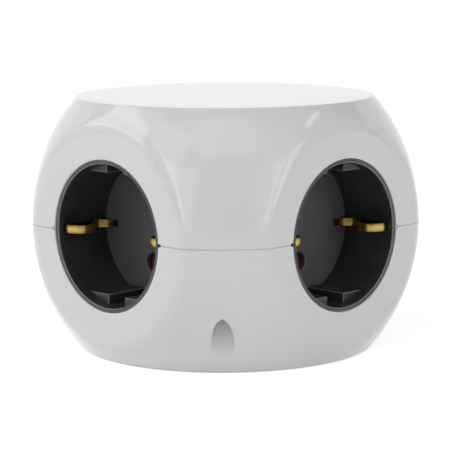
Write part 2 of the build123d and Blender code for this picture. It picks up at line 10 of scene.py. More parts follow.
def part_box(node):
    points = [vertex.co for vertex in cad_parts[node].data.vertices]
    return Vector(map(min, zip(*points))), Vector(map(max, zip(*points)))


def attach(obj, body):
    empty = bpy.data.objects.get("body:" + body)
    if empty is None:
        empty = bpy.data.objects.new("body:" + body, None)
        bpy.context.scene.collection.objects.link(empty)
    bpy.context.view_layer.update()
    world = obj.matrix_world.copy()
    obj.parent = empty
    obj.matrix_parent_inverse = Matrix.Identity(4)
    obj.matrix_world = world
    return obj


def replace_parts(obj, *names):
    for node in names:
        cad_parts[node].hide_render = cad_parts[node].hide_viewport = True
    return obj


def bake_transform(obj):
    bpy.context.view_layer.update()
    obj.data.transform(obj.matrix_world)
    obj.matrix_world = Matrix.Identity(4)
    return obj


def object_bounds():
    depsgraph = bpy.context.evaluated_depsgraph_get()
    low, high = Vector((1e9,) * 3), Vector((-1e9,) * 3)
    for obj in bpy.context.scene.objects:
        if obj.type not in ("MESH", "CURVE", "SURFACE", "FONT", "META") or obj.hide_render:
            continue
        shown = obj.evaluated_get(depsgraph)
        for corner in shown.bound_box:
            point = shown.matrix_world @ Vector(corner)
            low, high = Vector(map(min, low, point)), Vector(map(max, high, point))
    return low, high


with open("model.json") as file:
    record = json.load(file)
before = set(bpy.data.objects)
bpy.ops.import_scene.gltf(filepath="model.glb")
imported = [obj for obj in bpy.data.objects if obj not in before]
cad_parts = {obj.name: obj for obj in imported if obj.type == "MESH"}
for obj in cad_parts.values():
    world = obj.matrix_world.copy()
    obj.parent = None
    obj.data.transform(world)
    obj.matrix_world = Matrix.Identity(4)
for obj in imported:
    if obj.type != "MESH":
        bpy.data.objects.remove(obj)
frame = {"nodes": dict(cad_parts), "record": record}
cad_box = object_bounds()

# Housing: two half shells of glossy white plastic, moulded to a ball that is cut by six flats. They meet on a
# level seam and four screws from below hold them. A net of directions is made here for one shell, and a
# Geometry Nodes tree pushes it out to the skin and the inside by the rule of the cut ball.
mm = 0.001
centre = Vector((0, 0, (cad_box[0].z + cad_box[1].z) / 2))
face_distance = cad_box[1].x
half_height = cad_box[1].z - centre.z
ball_radius = 55.6 * mm
side_edge = 8.0 * mm
level_edge = 0.35 * mm
inner_edge = 0.3 * mm
wall = 2.4 * mm
mouth_radius = 21.0 * mm
mouth_lip = 0.3 * mm
seam_gap = 0.12 * mm
seam_depth = 0.3 * mm
notch_rise = 0.7 * mm
notch_depth = 1.2 * mm
notch_reach = 4 * notch_rise
gap_fade = 4.0 * mm
end_spokes = 36
top_spokes = 59
side_flat_rings = 6
side_bend_rings = 10
ball_rings = 16
level_bend_rings = 8
level_flat_rings = 10
lip_rings = 6
weld_distance = 0.001 * mm
sharp_angle = math.radians(32)


def add_node(tree, kind, inputs=None, **settings):
    """A new node with its properties set and its inputs linked to sockets or set to values."""
    made = tree.nodes.new(kind)
    for name, value in settings.items():
        setattr(made, name, value)
    for name, value in (inputs or {}).items():
        if isinstance(value, bpy.types.NodeSocket):
            tree.links.new(value, made.inputs[name])
        else:
            made.inputs[name].default_value = value
    return made


def calc(tree, operation, *values):
    """The result of a math node."""
    return add_node(tree, "ShaderNodeMath", dict(enumerate(values)), operation=operation).outputs[0]


def square(tree, value):
    """A value times itself, by a math node."""
    return calc(tree, "MULTIPLY", value, value)


def new_group(name, kind, inputs, outputs):
    """A node group with named sockets, and its input and output sockets."""
    tree = bpy.data.node_groups.new(name, kind)
    for label, socket_type in inputs.items():
        tree.interface.new_socket(label, in_out="INPUT", socket_type=socket_type)
    for label, socket_type in outputs.items():
        tree.interface.new_socket(label, in_out="OUTPUT", socket_type=socket_type)
    return tree, tree.nodes.new("NodeGroupInput").outputs, tree.nodes.new("NodeGroupOutput").inputs


def end_tree(tree, geometry, given, result):
    """Ends a Geometry Nodes tree: instances are made real and the material is set."""
    whole = add_node(tree, "GeometryNodeRealizeInstances", {"Geometry": geometry})
    inputs = {"Geometry": whole.outputs[0], "Material": given["Material"]}
    dressed = add_node(tree, "GeometryNodeSetMaterial", inputs)
    tree.links.new(dressed.outputs[0], result["Geometry"])


def placed(name, data):
    """A new object in the scene, at the origin."""
    made = bpy.data.objects.new(name, data)
    bpy.context.scene.collection.objects.link(made)
    return made


def mesh_object(name, points, faces, edges=()):
    """An object from points and faces, or from points and edges."""
    mesh = bpy.data.meshes.new(name)
    mesh.from_pydata([tuple(p) for p in points], edges, faces)
    return placed(name, mesh)


def baked(source, name):
    """A plain object with the mesh that a source's modifiers give, and the source removed."""
    bpy.context.view_layer.update()
    depsgraph = bpy.context.evaluated_depsgraph_get()
    mesh = bpy.data.meshes.new_from_object(source.evaluated_get(depsgraph))
    bpy.data.objects.remove(source)
    mesh.name = name
    return placed(name, mesh)


def grown(source, name, tree, values):
    """The plain piece that a Geometry Nodes tree makes of a source, with its inputs set by identifier."""
    modifier = source.modifiers.new(tree.name, "NODES")
    modifier.node_group = tree
    for item in tree.interface.items_tree:
        if item.in_out == "INPUT" and item.name in values:
            modifier[item.identifier] = values[item.name]
    return baked(source, name)


def close_and_shade(piece, recalculate=True):
    """Welds a mesh, turns its faces outwards and shades it smooth between its sharp edges."""
    net = bmesh.new()
    net.from_mesh(piece.data)
    bmesh.ops.remove_doubles(net, verts=net.verts, dist=weld_distance)
    bmesh.ops.dissolve_degenerate(net, edges=net.edges, dist=weld_distance / 10)
    if recalculate:
        bmesh.ops.recalc_face_normals(net, faces=net.faces)
    for face in net.faces:
        face.smooth = True
    for edge in net.edges:
        edge.smooth = edge.is_manifold and edge.calc_face_angle(0) < sharp_angle
    net.to_mesh(piece.data)
    net.free()
    return piece


def cut(piece, cutter, operation="DIFFERENCE"):
    """Takes a cutter from a piece, or joins it on, and removes the cutter."""
    modifier = piece.modifiers.new("cut", "BOOLEAN")
    modifier.object = cutter
    modifier.operation = operation
    modifier.solver = "EXACT"
    made = baked(piece, piece.name)
    bpy.data.objects.remove(cutter)
    return made


# The rule for one flat: how far from the middle the skin lies in a direction, on the ball, on the flat or on
# the round edge between them.
rule, given, result = new_group(
    "flat with a round edge",
    "GeometryNodeTree",
    {
        "Cosine": "NodeSocketFloat",
        "Ball Radius": "NodeSocketFloat",
        "Flat Distance": "NodeSocketFloat",
        "Edge Radius": "NodeSocketFloat",
    },
    {"Reach": "NodeSocketFloat"},
)
bend_sphere = calc(rule, "SUBTRACT", given["Ball Radius"], given["Edge Radius"])
bend_level = calc(rule, "SUBTRACT", given["Flat Distance"], given["Edge Radius"])
bend_ring = calc(rule, "SQRT", calc(rule, "SUBTRACT", square(rule, bend_sphere), square(rule, bend_level)))
flat_corner = calc(
    rule, "SQRT", calc(rule, "MULTIPLY_ADD", bend_ring, bend_ring, square(rule, given["Flat Distance"]))
)
sine = calc(rule, "SQRT", calc(rule, "SUBTRACT", 1.0, square(rule, given["Cosine"])))
along = calc(rule, "MULTIPLY_ADD", bend_ring, sine, calc(rule, "MULTIPLY", bend_level, given["Cosine"]))
past_middle = calc(rule, "SUBTRACT", square(rule, along), square(rule, bend_sphere))
inside = calc(rule, "MULTIPLY_ADD", given["Edge Radius"], given["Edge Radius"], past_middle)
on_bend = calc(rule, "ADD", along, calc(rule, "SQRT", calc(rule, "MAXIMUM", inside, 0.0)))
on_flat = calc(rule, "DIVIDE", given["Flat Distance"], given["Cosine"])
bend_start = calc(rule, "DIVIDE", bend_level, bend_sphere)
flat_start = calc(rule, "DIVIDE", given["Flat Distance"], flat_corner)
past_ball = calc(rule, "GREATER_THAN", given["Cosine"], bend_start)
past_bend = calc(rule, "GREATER_THAN", given["Cosine"], flat_start)
bend_or_ball = add_node(
    rule,
    "GeometryNodeSwitch",
    {"Switch": past_ball, "False": given["Ball Radius"], "True": on_bend},
    input_type="FLOAT",
)
flat_or_rest = add_node(
    rule,
    "GeometryNodeSwitch",
    {"Switch": past_bend, "False": bend_or_ball.outputs[0], "True": on_flat},
    input_type="FLOAT",
)
rule.links.new(flat_or_rest.outputs[0], result["Reach"])

# The tree: each point's direction is pushed out by the rule for the sides and for the top and bottom.
ball_tree, given, result = new_group(
    "cut ball",
    "GeometryNodeTree",
    {
        "Geometry": "NodeSocketGeometry",
        "Ball Radius": "NodeSocketFloat",
        "Face Distance": "NodeSocketFloat",
        "Half Height": "NodeSocketFloat",
        "Side Edge": "NodeSocketFloat",
        "Level Edge": "NodeSocketFloat",
        "Inner Edge": "NodeSocketFloat",
        "Gap Fade": "NodeSocketFloat",
        "Material": "NodeSocketMaterial",
    },
    {"Geometry": "NodeSocketGeometry"},
)


def stored(tree, name, data_type):
    """A named attribute of the net."""
    return add_node(tree, "GeometryNodeInputNamedAttribute", {"Name": name}, data_type=data_type).outputs[0]


inset = stored(ball_tree, "inset", "FLOAT")
direction = add_node(
    ball_tree,
    "ShaderNodeVectorMath",
    {0: ball_tree.nodes.new("GeometryNodeInputPosition").outputs[0]},
    operation="NORMALIZE",
).outputs[0]
parts = add_node(ball_tree, "ShaderNodeSeparateXYZ", {0: direction}).outputs
side_cosine = calc(
    ball_tree, "MAXIMUM", calc(ball_tree, "ABSOLUTE", parts[0]), calc(ball_tree, "ABSOLUTE", parts[1])
)
level_cosine = calc(ball_tree, "ABSOLUTE", parts[2])
reaches = []
for cosine, distance, edge in (
    (side_cosine, "Face Distance", "Side Edge"),
    (level_cosine, "Half Height", "Level Edge"),
):
    taken_in = calc(ball_tree, "SUBTRACT", given[edge], inset)
    reaches.append(
        add_node(
            ball_tree,
            "GeometryNodeGroup",
            {
                "Cosine": cosine,
                "Ball Radius": calc(ball_tree, "SUBTRACT", given["Ball Radius"], inset),
                "Flat Distance": calc(ball_tree, "SUBTRACT", given[distance], inset),
                "Edge Radius": calc(ball_tree, "MAXIMUM", taken_in, given["Inner Edge"]),
            },
            node_tree=rule,
        ).outputs[0]
    )
on_skin = add_node(
    ball_tree,
    "ShaderNodeVectorMath",
    {0: direction, "Scale": calc(ball_tree, "MINIMUM", *reaches)},
    operation="SCALE",
).outputs[0]
height = add_node(ball_tree, "ShaderNodeSeparateXYZ", {0: on_skin}).outputs[2]
fade = calc(ball_tree, "DIVIDE", calc(ball_tree, "ABSOLUTE", height), given["Gap Fade"])
near_seam = calc(ball_tree, "MAXIMUM", calc(ball_tree, "SUBTRACT", 1.0, fade), 0.0)
gap = stored(ball_tree, "gap", "FLOAT")
raised = calc(ball_tree, "MULTIPLY_ADD", gap, near_seam, given["Half Height"])
lift = add_node(ball_tree, "ShaderNodeCombineXYZ", {2: raised}).outputs[0]
place = add_node(ball_tree, "ShaderNodeVectorMath", {0: on_skin, 1: lift}, operation="ADD").outputs[0]
place = add_node(
    ball_tree,
    "ShaderNodeVectorMath",
    {0: place, 1: stored(ball_tree, "step", "FLOAT_VECTOR")},
    operation="ADD",
).outputs[0]
pushed = add_node(ball_tree, "GeometryNodeSetPosition", {"Geometry": given["Geometry"], "Position": place})
end_tree(ball_tree, pushed.outputs[0], given, result)


def side_net(taken_in, edge, level, mouth):
    """Directions of one upper quarter of the housing, around the side that faces +X: spokes by rings."""
    ball, flat, top = ball_radius - taken_in, face_distance - taken_in, half_height - taken_in
    bend_ring = math.sqrt((ball - edge) ** 2 - (flat - edge) ** 2)
    first, last = math.atan2(bend_ring, flat), math.atan2(bend_ring, flat - edge)
    rise = math.asin((top - level) / (ball - level))
    corner = math.atan(math.sqrt(2) * math.tan(rise))
    spokes = np.concatenate(
        [
            np.linspace(0, corner, end_spokes),
            np.linspace(corner, math.pi - corner, top_spokes)[1:-1],
            np.linspace(math.pi - corner, math.pi, end_spokes),
        ]
    )
    rings = np.concatenate(
        [
            np.arctan(np.linspace(mouth, bend_ring, side_flat_rings) / flat),
            np.linspace(first, last, side_bend_rings)[1:],
        ]
    )
    to_corner = np.arctan2(1, np.abs(np.cos(spokes)))
    to_top = np.arcsin(np.minimum(math.sin(rise) / np.maximum(np.sin(spokes), math.sin(rise)), 1))
    rounding = 1e-9
    under_top = (spokes > corner - rounding) & (spokes < math.pi - corner + rounding)
    ends = np.where(under_top, to_top, to_corner)
    outer = last + np.linspace(0, 1, ball_rings)[1:] * (ends[:, None] - last)
    turns = np.concatenate([np.tile(rings, (len(spokes), 1)), outer], axis=1)
    across = spokes[:, None]
    net = np.stack([np.cos(turns), np.sin(turns) * np.cos(across), np.sin(turns) * np.sin(across)], axis=2)
    return net, spokes


def top_net(boundary, taken_in, level):
    """Directions of the level flat and its round edge, inwards from the boundary of a side's net."""
    ball, top = ball_radius - taken_in, half_height - taken_in
    bend_ring = math.sqrt((ball - level) ** 2 - (top - level) ** 2)
    tilts = np.concatenate(
        [
            np.linspace(math.atan2(bend_ring, top - level), math.atan2(bend_ring, top), level_bend_rings),
            np.arctan(np.linspace(bend_ring, 0, level_flat_rings)[1:] / top),
        ]
    )
    turn = np.arctan2(boundary[:, 1], boundary[:, 0])[:, None]
    return np.stack(
        [np.sin(tilts) * np.cos(turn), np.sin(tilts) * np.sin(turn), np.cos(tilts) + 0 * turn], axis=2
    )


def shell_net(up):
    """The net of a whole shell: directions, and for each the inset, seam gap and step from the skin."""
    outer, spokes = side_net(0, side_edge, level_edge, mouth_radius + mouth_lip)
    inner, _ = side_net(wall, inner_edge, inner_edge, mouth_radius)
    rim = np.stack([0 * spokes, np.cos(spokes), np.sin(spokes)], axis=1)
    outward = np.array([1.0, 0, 0])
    patches = []

    def patch(net, taken_in=0.0, gap=0.0, step=0.0):
        patches.append(
            (
                net,
                np.broadcast_to(taken_in, net.shape[:2]),
                np.broadcast_to(gap, net.shape[:2]),
                np.broadcast_to(step, net.shape),
            )
        )

    # The skin, with the seam opened to a small notch beside the mouth, and the inner wall.
    flat_radius = face_distance * np.sqrt(1 - outer[0, :, 0] ** 2) / outer[0, :, 0]
    notch = np.clip(notch_rise - (flat_radius - mouth_radius), 0, None)
    skin_gap = seam_gap + notch
    patch(outer, 0, skin_gap[None, :])
    patch(inner[:, ::-1], wall)

    # The lip, which rounds the edge of the mouth and goes on to the inner wall.
    turns = np.linspace(0, math.pi / 2, lip_rings)
    back = np.concatenate([mouth_lip * (1 - np.cos(turns)), [notch_depth - seam_depth, notch_depth, 0]])
    drawn_in = np.concatenate([mouth_lip * np.sin(turns), [mouth_lip, mouth_lip, 0]])
    lip_gap = seam_gap + np.clip(notch_rise - mouth_lip + drawn_in, 0, None)
    lip_gap[-2:] = 0
    steps = -back[None, :, None] * outward - drawn_in[None, :, None] * rim[:, None, :]
    lip = np.concatenate([np.repeat(outer[:, :1], len(back) - 1, axis=1), inner[:, :1]], axis=1)
    patch(lip, np.where(np.arange(len(back)) < len(back) - 1, 0, wall)[None, :], lip_gap[None, :], steps)

    # The two seam faces, set back from the skin to leave a fine groove.
    depth = seam_depth + (notch_depth - seam_depth) * notch / notch_rise
    on_flat = flat_radius < mouth_radius + notch_reach
    for spoke in (0, -1):
        row = np.stack([outer[spoke], outer[spoke], outer[spoke], inner[spoke]])
        taken = np.zeros(row.shape[:2])
        taken[1:3] = np.where(on_flat, 0, depth)
        taken[3] = wall
        gaps = np.zeros(row.shape[:2])
        gaps[0] = gaps[1] = skin_gap
        step = np.zeros(row.shape)
        step[1:3] = -np.where(on_flat, depth, 0)[None, :, None] * outward
        patch(row, taken, gaps, step)

    # The level flat with its round edge, outside and inside.
    first, last = end_spokes - 1, len(spokes) - end_spokes
    patch(top_net(outer[first : last + 1, -1], 0, level_edge))
    patch(top_net(inner[first : last + 1, -1], wall, inner_edge), wall)

    # Four quarters of these patches make the shell, with small faces where lip and seam meet.
    flip = np.array([1, 1, 1 if up else -1])
    columns = [[], [], [], []]
    faces, count = [], 0
    for quarter in range(4):
        turn = np.array(Matrix.Rotation(quarter * math.pi / 2, 3, "Z"))
        starts = []
        for net, taken, gap, step in patches:
            starts.append(count)
            rows, width = net.shape[:2]
            columns[0].append((net @ turn.T * flip).reshape(-1, 3))
            columns[1].append(taken.reshape(-1))
            columns[2].append(gap.reshape(-1) * flip[2])
            columns[3].append((step @ turn.T * flip).reshape(-1, 3))
            index = count + np.arange(rows * width).reshape(rows, width)
            quads = np.stack([index[:-1, :-1], index[1:, :-1], index[1:, 1:], index[:-1, 1:]], axis=2)
            faces.extend(quads.reshape(-1, 4).tolist())
            count += rows * width
        for end, seam_patch in ((0, 3), (len(spokes) - 1, 4)):
            lip = [starts[2] + end * len(back) + k for k in range(len(back))]
            seam = [starts[seam_patch] + k * outer.shape[1] for k in range(4)]
            faces.append((*lip[:-2], seam[1]))
            faces.append((*lip[-3:-1], seam[2], seam[1]))
            faces.append((*lip[-2:], seam[2]))
    return [np.concatenate(column) for column in columns], faces


def make_shell(name, up, material):
    """One half shell: the net, pushed onto the cut ball and closed."""
    (directions, taken, gaps, steps), faces = shell_net(up)
    source = mesh_object(name, directions, faces)
    for label, kind, field, values in (
        ("inset", "FLOAT", "value", taken),
        ("gap", "FLOAT", "value", gaps),
        ("step", "FLOAT_VECTOR", "vector", steps),
    ):
        attribute = source.data.attributes.new(label, kind, "POINT")
        attribute.data.foreach_set(field, values.ravel().astype(np.float32))
    sizes = {
        "Ball Radius": ball_radius,
        "Face Distance": face_distance,
        "Half Height": half_height,
        "Side Edge": side_edge,
        "Level Edge": level_edge,
        "Inner Edge": inner_edge,
        "Gap Fade": gap_fade,
        "Material": material,
    }
    return grown(source, name, ball_tree, sizes)


# The finish of a moulded or metal surface: fine grain for its bump, and soft patches that vary its colour and
# its gloss.
surface_group, given, result = new_group(
    "surface",
    "ShaderNodeTree",
    {"Grain Scale": "NodeSocketFloat", "Patch Scale": "NodeSocketFloat", "Stretch": "NodeSocketVector"},
    {"Grain": "NodeSocketFloat", "Patch": "NodeSocketFloat"},
)
place = surface_group.nodes.new("ShaderNodeTexCoord").outputs["Object"]
mapping = add_node(surface_group, "ShaderNodeMapping", {"Vector": place, "Scale": given["Stretch"]})
stretched = mapping.outputs[0]
grain = add_node(
    surface_group, "ShaderNodeTexNoise", {"Vector": stretched, "Scale": given["Grain Scale"], "Detail": 3.0}
)
patch_noise = add_node(
    surface_group, "ShaderNodeTexNoise", {"Vector": stretched, "Scale": given["Patch Scale"], "Detail": 5.0}
)
patches = add_node(
    surface_group,
    "ShaderNodeMapRange",
    {"Value": patch_noise.outputs[0], "From Min": 0.3, "From Max": 0.7},
    interpolation_type="SMOOTHSTEP",
)
surface_group.links.new(grain.outputs[0], result["Grain"])
surface_group.links.new(patches.outputs[0], result["Patch"])


def mixed(tree, mask, first, second):
    """A colour that goes from a first to a second one by a mask."""
    return add_node(tree, "ShaderNodeMix", {"Factor": mask, 6: first, 7: second}, data_type="RGBA").outputs[2]


def finish(name, colours, gloss, grain=(2500.0, 0.01 * mm), patch_scale=70.0, stretch=(1, 1, 1), metal=0.0):
    """A material that drifts between two colours and two roughness values in patches, with fine grain."""
    material = bpy.data.materials.new(name)
    material.use_nodes = True
    tree = material.node_tree
    shader = tree.nodes["Principled BSDF"]
    shader.inputs["Metallic"].default_value = metal
    grain_scale, grain_depth = grain
    scales = {"Grain Scale": grain_scale, "Patch Scale": patch_scale, "Stretch": stretch}
    surface = add_node(tree, "ShaderNodeGroup", scales, node_tree=surface_group)
    patch = surface.outputs["Patch"]
    colour = mixed(tree, patch, (*colours[0], 1), (*colours[1], 1))
    roughness = add_node(tree, "ShaderNodeMapRange", {"Value": patch, "To Min": gloss[0], "To Max": gloss[1]})
    bump = add_node(
        tree,
        "ShaderNodeBump",
        {"Height": surface.outputs["Grain"], "Distance": grain_depth, "Strength": 0.5},
    )
    tree.links.new(colour, shader.inputs["Base Color"])
    tree.links.new(roughness.outputs[0], shader.inputs["Roughness"])
    tree.links.new(bump.outputs[0], shader.inputs["Normal"])
    return material


housing_plastic = finish(
    "housing_plastic",
    ((0.655, 0.655, 0.662), (0.675, 0.675, 0.68)),
    (0.07, 0.11),
    grain=(900.0, 0.004 * mm),
    patch_scale=25.0,
)
screw_ring = ball_radius - 6.6 * mm
screw_turn = math.radians(43.85)
screw_seat = 12.0 * mm
tunnel_radius = 3.14 * mm
tunnel_tip = tunnel_radius + 0.14 * mm
tunnel_boss = 4.64 * mm
upper_boss = 3.6 * mm
shank_hole = 1.75 * mm
pilot_hole = 1.5 * mm
pilot_depth = 10.5 * mm
post_radius = 2.6 * mm
post_place = 18.4 * mm
post_start = 15.5 * mm


def pillar(x, y, radius, start, up, sides=48, rings=5):
    """A round boss from a level near the seam to the middle of the wall, its end following the ball."""
    spread = np.linspace(0, 1, rings + 1)[1:]
    turns = np.linspace(0, 2 * math.pi, sides, endpoint=False)
    rows = [
        np.stack([x + radius * r * np.cos(turns), y + radius * r * np.sin(turns)], axis=1) for r in spread
    ]
    plan = np.concatenate([[[x, y]], *rows])
    off_axis = (plan**2).sum(axis=1)
    end = np.minimum(np.sqrt((ball_radius - wall / 2) ** 2 - off_axis), half_height - wall / 2)
    sign = 1 if up else -1
    level = centre.z + sign * start
    far = np.column_stack([plan, centre.z + sign * end])
    near = np.column_stack([plan[-sides:], np.full(sides, level)])
    faces = []
    for k in range(sides):
        after = (k + 1) % sides
        faces.append((0, 1 + k, 1 + after))
        for ring in range(rings - 1):
            a, b = 1 + ring * sides, 1 + (ring + 1) * sides
            faces.append((a + k, b + k, b + after, a + after))
        last = 1 + (rings - 1) * sides
        faces.append((last + k, len(far) + k, len(far) + after, last + after))
    faces.append(tuple(range(len(far), len(far) + sides)))
    return close_and_shade(mesh_object("pillar", np.concatenate([far, near]), faces))


def bore(x, y, radius, low, high, tip=0.0, sides=64):
    """An upright cutter for a hole, round or drawn to a point on the side away from the housing's axis."""
    half = math.acos(radius / tip) if tip else 0.0
    outward = math.atan2(y, x)
    turns = outward + np.linspace(half, 2 * math.pi - half, sides, endpoint=tip > 0)
    plan = [(x + radius * math.cos(t), y + radius * math.sin(t)) for t in turns]
    if tip:
        plan.append((x + tip * math.cos(outward), y + tip * math.sin(outward)))
    count = len(plan)
    points = [(px, py, level) for level in (low, high) for px, py in plan]
    faces = [(k, (k + 1) % count, (k + 1) % count + count, k + count) for k in range(count)]
    faces += [tuple(range(count))[::-1], tuple(range(count, 2 * count))]
    return mesh_object("bore", points, faces)


screw_places = [
    (screw_ring * math.cos(screw_turn + k * math.pi / 2), screw_ring * math.sin(screw_turn + k * math.pi / 2))
    for k in range(4)
]
post_places = [(a * post_place, b * post_place) for a in (-1, 1) for b in (-1, 1)]
for shell_name, up in (("upper_housing", True), ("lower_housing", False)):
    shell = close_and_shade(make_shell(shell_name, up, housing_plastic))
    for x, y in screw_places:
        shell = cut(shell, pillar(x, y, upper_boss if up else tunnel_boss, 0, up), "UNION")
    for x, y in post_places:
        shell = cut(shell, pillar(x, y, post_radius, post_start, up), "UNION")
    for x, y in screw_places:
        if up:
            shell = cut(shell, bore(x, y, pilot_hole, centre.z - wall, centre.z + pilot_depth))
        else:
            shell = cut(shell, bore(x, y, tunnel_radius, -wall, centre.z - screw_seat, tunnel_tip))
            shell = cut(shell, bore(x, y, shank_hole, 0, centre.z + wall))
    close_and_shade(shell, recalculate=False)
    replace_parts(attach(shell, "housing"), shell_name.replace("housing", "shell"))

# Housing screws: four long zinc-plated steel screws with pan heads, a cross drive and a coarse thread that
# cuts into the upper shell. One screw is turned here, and a tree sets it at the four corners.
screw_radius = 1.45 * mm
screw_length = 21.0 * mm
thread_pitch = 1.1 * mm
thread_depth = 0.22 * mm
head_radius = 2.85 * mm
head_height = 2.2 * mm
head_wall = head_height * 0.35
crown_edge = 0.9 * mm
crown_steps = 9
drive_length = 3.6 * mm
drive_width = 0.9 * mm
drive_depth = 1.2 * mm
drive_spare = 1.0 * mm
thread_rows = 150
thread_sides = 24
point_length = 2.0 * mm
point_share = 0.15
zinc = finish(
    "zinc_plate", ((0.55, 0.56, 0.58), (0.66, 0.66, 0.67)), (0.22, 0.34), metal=1.0, patch_scale=400.0
)


def turned(name, profile, sides=64):
    """A solid turned about the Z axis from a profile of radius and height that starts and ends on it."""
    turns = np.linspace(0, 2 * math.pi, sides, endpoint=False)
    points = [(r * math.cos(t), r * math.sin(t), z) for t in turns for r, z in profile]
    count = len(profile)
    faces = []
    for k in range(sides):
        a, b = k * count, (k + 1) % sides * count
        faces.extend((a + i, b + i, b + i + 1, a + i + 1) for i in range(count - 1))
    return close_and_shade(mesh_object(name, points, faces))


crown_rise = head_height - head_wall
head_profile = [(0, 0), (head_radius, 0), (head_radius, -head_wall)]
head_profile += [
    (head_radius - crown_edge * (1 - math.cos(t)), -head_wall - crown_rise * math.sin(t))
    for t in np.linspace(0, math.pi / 2, crown_steps)[1:]
]
head_profile += [(0, -head_height)]
screw = turned("screw", head_profile)
for turn in (0, math.pi / 2):
    groove = mesh_object("drive", [], [])
    block = Matrix.Diagonal((drive_length, drive_width, drive_depth + drive_spare, 1))
    sunk = Matrix.Translation((0, 0, (drive_depth - drive_spare) / 2 - head_height))
    net = bmesh.new()
    bmesh.ops.create_cube(net, size=1, matrix=Matrix.Rotation(turn, 4, "Z") @ sunk @ block)
    net.to_mesh(groove.data)
    net.free()
    screw = cut(screw, groove)
rows = np.linspace(0, screw_length, thread_rows)
around = np.linspace(0, 2 * math.pi, thread_sides, endpoint=False)
wave = np.abs(((rows[:, None] / thread_pitch - around[None, :] / (2 * math.pi)) % 1) * 2 - 1)
taper = np.clip((screw_length - rows) / point_length, point_share, 1)[:, None]
shank = (screw_radius - thread_depth * wave) * taper
points = np.stack(
    [shank * np.cos(around), shank * np.sin(around), np.broadcast_to(rows[:, None], shank.shape)], axis=2
).reshape(-1, 3)
index = np.arange(len(points)).reshape(shank.shape)
beside = np.roll(index, -1, axis=1)
faces = np.stack([index[:-1], beside[:-1], beside[1:], index[1:]], axis=2).reshape(-1, 4).tolist()
faces += [tuple(index[0][::-1]), tuple(index[-1])]
screw = cut(screw, close_and_shade(mesh_object("shank", points, faces)), "UNION")

ring_tree, given, result = new_group(
    "ring of screws",
    "GeometryNodeTree",
    {
        "Geometry": "NodeSocketGeometry",
        "Count": "NodeSocketInt",
        "Ring Radius": "NodeSocketFloat",
        "First Turn": "NodeSocketFloat",
        "Level": "NodeSocketFloat",
        "Material": "NodeSocketMaterial",
    },
    {"Geometry": "NodeSocketGeometry"},
)
ring = add_node(
    ring_tree, "GeometryNodeMeshCircle", {"Vertices": given["Count"], "Radius": given["Ring Radius"]}
)
turned_ring = add_node(
    ring_tree,
    "GeometryNodeTransform",
    {
        "Geometry": ring.outputs[0],
        "Translation": add_node(ring_tree, "ShaderNodeCombineXYZ", {2: given["Level"]}).outputs[0],
        "Rotation": add_node(ring_tree, "ShaderNodeCombineXYZ", {2: given["First Turn"]}).outputs[0],
    },
)
spots = add_node(
    ring_tree,
    "GeometryNodeInstanceOnPoints",
    {"Points": turned_ring.outputs[0], "Instance": given["Geometry"]},
)
end_tree(ring_tree, spots.outputs[0], given, result)
ring_sizes = {
    "Count": len(screw_places),
    "Ring Radius": screw_ring,
    "First Turn": screw_turn,
    "Level": centre.z - screw_seat,
    "Material": zinc,
}
screws = close_and_shade(grown(screw, "corner_screws", ring_tree, ring_sizes), recalculate=False)
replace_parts(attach(screws, "housing"), "housing_screws")

# Socket cups: three dark glass-filled mouldings, each held by a flange behind a mouth of the housing. They
# are the imported cups with rounded edges, so that rims and the tops of the plug guides catch the light. The
# walls are polished and the floor is eroded matt. The floor is also painted lighter, as painted light where
# light falls in through the mouth, and the rounded edges and leaning faces are painted lighter as a painted
# highlight.
cup_edge = 0.2 * mm
cup_floor_front = face_distance - 17.8 * mm
floor_spare = 0.05 * mm
clip_sill = 1.0 * mm
clip_window = 2.1 * mm
clip_band = 2.0 * mm
clip_reach = 12.0 * mm
rim_depth = 1.5 * mm
edge_steps = 2
flat_angle = math.radians(1)
soft_angle = sharp_angle * 1.4
least_lean = 0.2
most_lean = 0.97
floor_painted_light_colour = (0.064, 0.064, 0.070, 1)
eroded_roughness = 0.62
painted_edge_highlight_colour = (0.17, 0.175, 0.18, 1)
insert_plastic = finish(
    "insert_plastic",
    ((0.021, 0.021, 0.024), (0.028, 0.028, 0.032)),
    (0.36, 0.46),
    grain=(1800.0, 0.012 * mm),
    patch_scale=120.0,
)


def reach_and_height(tree):
    """How far out towards a side of the housing a surface point lies, and its height, in a material."""
    place = tree.nodes.new("ShaderNodeTexCoord").outputs["Object"]
    parts = add_node(tree, "ShaderNodeSeparateXYZ", {0: place}).outputs
    reach = calc(tree, "MAXIMUM", calc(tree, "ABSOLUTE", parts[0]), calc(tree, "ABSOLUTE", parts[1]))
    return reach, parts[2]


def overlay(tree, mask, colour):
    """Lays a colour over a material's own where a mask is set."""
    base = tree.nodes["Principled BSDF"].inputs["Base Color"]
    tree.links.new(mixed(tree, mask, base.links[0].from_socket, colour), base)


tree = insert_plastic.node_tree
reach, _ = reach_and_height(tree)
# Painted light: the floor of each cup gets a lighter colour than the walls, for the light that falls on it
# through the mouth. Its higher roughness is the real matt finish.
matt_floor_and_painted_light = calc(tree, "LESS_THAN", reach, cup_floor_front + floor_spare)
overlay(tree, matt_floor_and_painted_light, floor_painted_light_colour)
# Painted highlight: faces marked in softened (rounded edges and leaning faces) are painted lighter.
edge_highlight = add_node(tree, "ShaderNodeAttribute", attribute_name="edge").outputs["Fac"]
overlay(tree, edge_highlight, painted_edge_highlight_colour)
roughness = tree.nodes["Principled BSDF"].inputs["Roughness"]
polish = roughness.links[0].from_socket
matt = add_node(tree, "ShaderNodeMix", {"Factor": matt_floor_and_painted_light, 2: polish, 3: eroded_roughness})
tree.links.new(matt.outputs[0], roughness)


def dress(piece, material):
    """Gives a piece one material."""
    piece.data.materials.clear()
    piece.data.materials.append(material)


